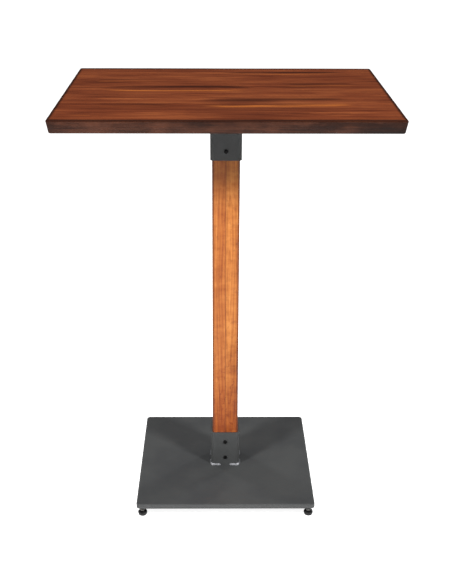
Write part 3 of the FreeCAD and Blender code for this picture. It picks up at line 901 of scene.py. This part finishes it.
def key_recess(shape, width, top, depth):
    """Rings that go down into a recess with a small lead-in, and stop on its floor."""
    return [
        (shape, width / 2 + 0.25 * MM, top),
        (shape, width / 2, top - 0.25 * MM),
        (shape, width / 2, top - depth),
    ]


dome_screw = bpy.data.objects.new(
    "dome_screw",
    stacked(
        "dome_screw",
        [
            ("round", 0.3 * MM, -SOCKET_SCREW_REACH),
            ("round", SOCKET_SHANK, -SOCKET_SCREW_REACH + 5.0 * MM),
            ("round", SOCKET_SHANK, 0.0),
            ("round", SOCKET_HEAD - 0.2 * MM, 0.0),
            ("round", SOCKET_HEAD, 0.3 * MM),
            *dome(SOCKET_HEAD, 2.4 * MM, 0.6 * MM),
            *key_recess("hexagon", 4.0 * MM, 3.0 * MM, 1.8 * MM),
        ],
    ),
)
pan_screw = bpy.data.objects.new(
    "pan_screw",
    stacked(
        "pan_screw",
        [
            ("round", 0.3 * MM, -WOOD_SCREW_REACH),
            ("round", WOOD_SHANK, -WOOD_SCREW_REACH + 5.0 * MM),
            ("round", WOOD_SHANK, 0.0),
            ("round", WOOD_HEAD - 0.2 * MM, 0.0),
            ("round", WOOD_HEAD, 0.3 * MM),
            *dome(WOOD_HEAD, 2.0 * MM, 0.8 * MM),
            *key_recess("square", 3.5 * MM, 2.8 * MM, 1.4 * MM),
        ],
    ),
)

# %% A tree that drives screws
driving, w, start, end = new_tree(
    "driven_screws",
    ("Screw", "NodeSocketObject", None),
    ("Seed", "NodeSocketInt", 5),
    ("Finish", "NodeSocketMaterial", None),
)
heading = w.node("GeometryNodeInputNamedAttribute", {"Name": "heading"}, data_type="FLOAT_VECTOR")
facing = w.out(
    "FunctionNodeAlignEulerToVector",
    {"Vector": heading.outputs["Attribute"]},
    axis="Z", pivot_axis="AUTO",
)
turn = w.node(
    "FunctionNodeRandomValue",
    {2: 0.0, 3: WHOLE_TURN, "Seed": start.outputs["Seed"]},
    data_type="FLOAT",
).outputs[1]
facing = w.out(
    "FunctionNodeRotateEuler",
    {"Rotation": facing, "Axis": (0.0, 0.0, 1.0), "Angle": turn},
    rotation_type="AXIS_ANGLE", space="LOCAL",
)
single = w.node(
    "GeometryNodeObjectInfo", {"Object": start.outputs["Screw"]}, transform_space="ORIGINAL"
)
many = w.out(
    "GeometryNodeInstanceOnPoints",
    {"Points": start.outputs["Geometry"], "Instance": single.outputs["Geometry"], "Rotation": facing},
)
close_tree(w, end, many, start.outputs["Finish"])


# %% Drive them
def drive_screws(name, screw, places, finish, slot, nodes):
    """Instances a screw at (point, heading) pairs; the heading is the way its head looks."""
    data = bpy.data.meshes.new(f"{name}_places")
    data.from_pydata([point for point, _ in places], [], [])
    headings = data.attributes.new("heading", "FLOAT_VECTOR", "POINT")
    for item, (_, heading) in zip(headings.data, places):
        item.vector = heading
    points = bpy.data.objects.new(f"{name}_places", data)
    bpy.context.scene.collection.objects.link(points)
    piece = run_tree(points, driving, {"Screw": screw, "Finish": finish}, name, 30.0)
    settle(piece, "table", slot, *nodes)
    print(name, "screws", len(places), "faces", len(piece.data.polygons))


socket_places = []
socket_nodes = []
for level in ("upper", "lower"):
    for side, sign in (("front", -1), ("rear", 1)):
        node = f"{level}_socket_screws_{side}"
        low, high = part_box(node)
        for height in (low.z + SOCKET_HEAD, high.z - SOCKET_HEAD):
            socket_places.append(((0.0, sign * half_tube, height), (0.0, sign, 0.0)))
        socket_nodes.append(node)
drive_screws("socket_screws", dome_screw, socket_places, black_steel, "black_screws", socket_nodes)

spread_x = wood_high.x - WOOD_HEAD
wood_places = []
for step_x in (-1, 0, 1):
    for step_y in (-1, 0, 1):
        if step_x or step_y:
            spot = (step_x * spread_x, step_y * spread_x, upper_high.z)
            wood_places.append((spot, (0.0, 0.0, -1.0)))
wood_nodes = ["top_screws_corners", "top_screws_sides"]
drive_screws("top_screws", pan_screw, wood_places, zinc, "plated_screws", wood_nodes)
bpy.data.objects.remove(dome_screw)
bpy.data.objects.remove(pan_screw)

# %% [markdown]
# ## Screw feet
#
# Each foot is a black moulded pad that turns on a threaded steel stem. The thread is a ridge that
# winds round the stem once for every pitch. On a cylinder with enough points that is one formula:
# push each point out by how far it is, along the stem, from the nearest turn of the helix.


# %% Moulded nylon
def moulded_nylon():
    material, shader, w = new_finish("moulded_nylon", Specular_IOR_Level=0.5)
    place = w.own_place()
    grainy = w.noise(place, 1800.0, 2.0)
    scuff = w.noise(place, 180.0, 4.0)
    colour = w.mix(w.spread(scuff, 0.45, 0.75), paint(17, 17, 18), paint(38, 38, 38))
    w.fill(shader.inputs["Base Color"], colour)
    w.fill(shader.inputs["Roughness"], w.spread(scuff, 0.3, 0.7, 0.32, 0.50))
    bumped(w, shader, grainy, 0.00005)
    return material


nylon = moulded_nylon()

# %% The pads
pad_low, pad_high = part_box("foot_pad_front_left")
PAD_RADIUS = (pad_high.x - pad_low.x) / 2
PAD_HEIGHT = pad_high.z
STEM_RADIUS = 4.0 * MM
COLLAR_RADIUS = 7.4 * MM


def pad_rings():
    """The pad's outside from the floor up to its collar, and the mouth where the stem goes in."""
    shoulder = 0.64 * PAD_HEIGHT
    rings = [
        ("round", PAD_RADIUS - 2.6 * MM, 0.0),
        ("round", PAD_RADIUS - 1.9 * MM, 0.3 * MM),
        ("round", PAD_RADIUS - 1.2 * MM, 1.2 * MM),
        ("round", PAD_RADIUS - 0.5 * MM, 0.5 * shoulder),
        ("round", PAD_RADIUS, shoulder - 1.0 * MM),
    ]
    for step in range(1, 9):
        angle = math.pi / 2 * step / 8
        radius = COLLAR_RADIUS + (PAD_RADIUS - COLLAR_RADIUS) * math.cos(angle) ** 0.8
        rise = (PAD_HEIGHT - shoulder + 0.6 * MM) * math.sin(angle)
        rings.append(("round", radius, shoulder - 1.0 * MM + rise))
    rings += [
        ("round", 6.9 * MM, PAD_HEIGHT),
        ("round", STEM_RADIUS + 0.7 * MM, PAD_HEIGHT),
        ("round", STEM_RADIUS + 0.3 * MM, PAD_HEIGHT - 0.4 * MM),
        ("round", STEM_RADIUS + 0.3 * MM, PAD_HEIGHT - 3.0 * MM),
    ]
    return rings


for corner in FEET:
    low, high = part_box(f"foot_pad_{corner}")
    mesh = stacked(f"moulded_pad_{corner}", pad_rings())
    mesh.transform(Matrix.Translation(((low.x + high.x) / 2, (low.y + high.y) / 2, 0.0)))
    mesh.materials.append(nylon)
    moulded = keep_piece(f"moulded_pad_{corner}", mesh, 50.0)
    settle(moulded, f"foot_pad_{corner}", "foot_plastic", f"foot_pad_{corner}")
print("pads:", len(FEET))

# %% The thread tree
THREAD_PITCH = 1.25 * MM
THREAD_DEPTH = 0.65 * MM
THREAD_RUN_OUT = 0.8 * MM

threading, w, start, end = new_tree(
    "stem_thread",
    ("Pitch", "NodeSocketFloat", THREAD_PITCH),
    ("Depth", "NodeSocketFloat", THREAD_DEPTH),
    ("Thread starts at", "NodeSocketFloat", 0.0),
    ("Thread ends at", "NodeSocketFloat", 0.0),
    ("Finish", "NodeSocketMaterial", None),
)
place = w.out("GeometryNodeInputPosition")
x, y, z = w.split(place)
angle = w.over(w.math("ARCTAN2", y, x), WHOLE_TURN)
turns = w.minus(w.over(z, start.outputs["Pitch"]), angle)
phase = w.math("FRACT", w.plus(turns, 40.0))
ridge = w.math("ABSOLUTE", w.minus(w.times(phase, 2.0), 1.0))
groove = w.spread(ridge, 0.15, 0.90, 0.0, 1.0, smooth=False)
first, last = start.outputs["Thread starts at"], start.outputs["Thread ends at"]
threaded = w.times(
    w.spread(z, first, w.plus(first, THREAD_RUN_OUT)),
    w.spread(z, last, w.minus(last, THREAD_RUN_OUT)),
)
push = w.times(w.times(groove, threaded), w.times(start.outputs["Depth"], -1.0))
radius = w.math("SQRT", w.plus(w.times(x, x), w.times(y, y)))
scale = w.over(push, w.math("MAXIMUM", radius, 0.1 * MM))
offset = w.join(w.times(x, scale), w.times(y, scale), 0.0)
cut = w.out("GeometryNodeSetPosition", {"Geometry": start.outputs["Geometry"], "Offset": offset})
close_tree(w, end, cut, start.outputs["Finish"])

# %% The stems
stem_low, stem_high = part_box("foot_stem_front_left")
HEX_HALF = 6.5 * MM
HEX_LOW = PAD_HEIGHT + 0.3 * MM
HEX_HIGH = HEX_LOW + 5.0 * MM
FLANGE_HALF = 7.0 * MM
ROWS_PER_TURN = 10


def stem_rings():
    """Flange, neck, spanner hexagon with chamfered corners, then close rings for the thread."""
    rings = [
        ("round", FLANGE_HALF, stem_low.z),
        ("round", FLANGE_HALF, stem_low.z + 3.0 * MM),
        ("round", STEM_RADIUS, stem_low.z + 3.0 * MM),
        ("round", STEM_RADIUS, HEX_LOW),
        ("round", HEX_HALF - 0.2 * MM, HEX_LOW),
        ("hexagon", HEX_HALF, HEX_LOW + 0.7 * MM),
        ("hexagon", HEX_HALF, HEX_HIGH - 0.7 * MM),
        ("round", HEX_HALF - 0.2 * MM, HEX_HIGH),
        ("round", STEM_RADIUS, HEX_HIGH),
    ]
    length = stem_high.z - MM - HEX_HIGH
    count = round(length / THREAD_PITCH * ROWS_PER_TURN)
    rings += [("round", STEM_RADIUS, HEX_HIGH + length * k / count) for k in range(1, count + 1)]
    rings.append(("round", STEM_RADIUS - MM, stem_high.z))
    return rings


for corner in FEET:
    low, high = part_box(f"foot_stem_{corner}")
    blank = bpy.data.objects.new(f"stem_blank_{corner}", stacked("stem_blank", stem_rings(), 36))
    bpy.context.scene.collection.objects.link(blank)
    values = {
        "Thread starts at": HEX_HIGH + 0.3 * MM,
        "Thread ends at": stem_high.z,
        "Finish": foot_steel,
    }
    stem = run_tree(blank, threading, values, f"threaded_stem_{corner}", 35.0)
    stem.data.transform(Matrix.Translation(((low.x + high.x) / 2, (low.y + high.y) / 2, 0.0)))
    settle(stem, f"foot_stem_{corner}", "foot_steel", f"foot_stem_{corner}")
print("stems:", len(FEET), "faces each", len(stem.data.polygons))

# %% [markdown]
# ## Floor and light
#
# The table stands on a plain pale floor in a white studio. The ceiling is one big soft light and
# the walls give little, so the polished top doesn't mirror a bright wall and its stain stays deep.
# The backdrop looks white only to the camera. Two soft boxes stand in front at the diagonals, high
# enough for the top to shade the head of the post, and two weaker ones stand behind. Each one
# throws a soft shadow of the post across the base plate, away from itself. Their glare is switched
# off, as a photographer does with polarising film. The floor is clear from below, so the
# underside can be looked at too.

# %% What only the camera sees
def for_camera(w, seen, otherwise):
    """One strength for the backdrop as it is seen, another for the light it gives."""
    direct = w.node("ShaderNodeLightPath").outputs["Is Camera Ray"]
    unseen = w.times(w.minus(1.0, direct), otherwise)
    return w.plus(w.times(direct, seen), unseen)


# %% Floor
FLOOR_HALF = 12.0
FLOOR_SEEN, FLOOR_GLOW = 0.90, 0.06

floor_mesh = bmesh.new()
bmesh.ops.create_grid(floor_mesh, x_segments=1, y_segments=1, size=FLOOR_HALF)
floor_data = bpy.data.meshes.new("floor")
floor_mesh.to_mesh(floor_data)
floor_mesh.free()
floor = bpy.data.objects.new("floor", floor_data)
bpy.context.scene.collection.objects.link(floor)
pale, floor_shader, w = new_finish("pale_floor", Roughness=0.9, Specular_IOR_Level=0.0)
floor_shader.inputs["Base Color"].default_value = (0.88, 0.88, 0.88, 1.0)
floor_shader.inputs["Emission Color"].default_value = (1.0, 1.0, 1.0, 1.0)
w.fill(floor_shader.inputs["Emission Strength"], for_camera(w, FLOOR_SEEN, FLOOR_GLOW))
from_below = w.node("ShaderNodeNewGeometry").outputs["Backfacing"]
clear = w.out("ShaderNodeBsdfTransparent")
seen_through = w.out("ShaderNodeMixShader", {0: from_below, 1: floor_shader.outputs[0], 2: clear})
w.fill(pale.node_tree.nodes["Material Output"].inputs["Surface"], seen_through)
floor_data.materials.append(pale)

# %% The studio's walls and ceiling
CEILING_LIGHT = 0.30
WALL_LIGHT = 0.03

studio = bpy.data.worlds.new("white_studio")
studio.use_nodes = True
w = Wiring(studio.node_tree)
towards = w.node("ShaderNodeTexCoord").outputs["Generated"]
ceiling = w.spread(w.split(towards)[2], 0.30, 0.80, WALL_LIGHT, CEILING_LIGHT)
backdrop = studio.node_tree.nodes["Background"]
backdrop.inputs["Color"].default_value = (1.0, 1.0, 1.0, 1.0)
w.fill(backdrop.inputs["Strength"], for_camera(w, 1.0, ceiling))
bpy.context.scene.world = studio


# %% Soft boxes
def soft_box(name, place, aim, size, power):
    data = bpy.data.lights.new(name, "AREA")
    data.shape = "RECTANGLE"
    data.size, data.size_y = size
    data.energy = power
    light = bpy.data.objects.new(name, data)
    light.location = place
    light.rotation_euler = (Vector(aim) - Vector(place)).to_track_quat("-Z", "Y").to_euler()
    light.visible_glossy = False
    bpy.context.scene.collection.objects.link(light)


BOX_REACH = 1.9
FRONT_POWER, REAR_POWER = 90, 38

for side, sign in (("left", -1), ("right", 1)):
    across = BOX_REACH * sign
    soft_box(f"front_{side}", (across, -BOX_REACH, 2.3), (0.0, 0.0, 0.3), (0.45, 0.5), FRONT_POWER)
    soft_box(f"rear_{side}", (across, BOX_REACH, 2.5), (0.0, 0.0, 0.1), (0.4, 0.4), REAR_POWER)

bpy.context.scene.view_settings.view_transform = "Standard"
print("lights:", len(bpy.data.lights))
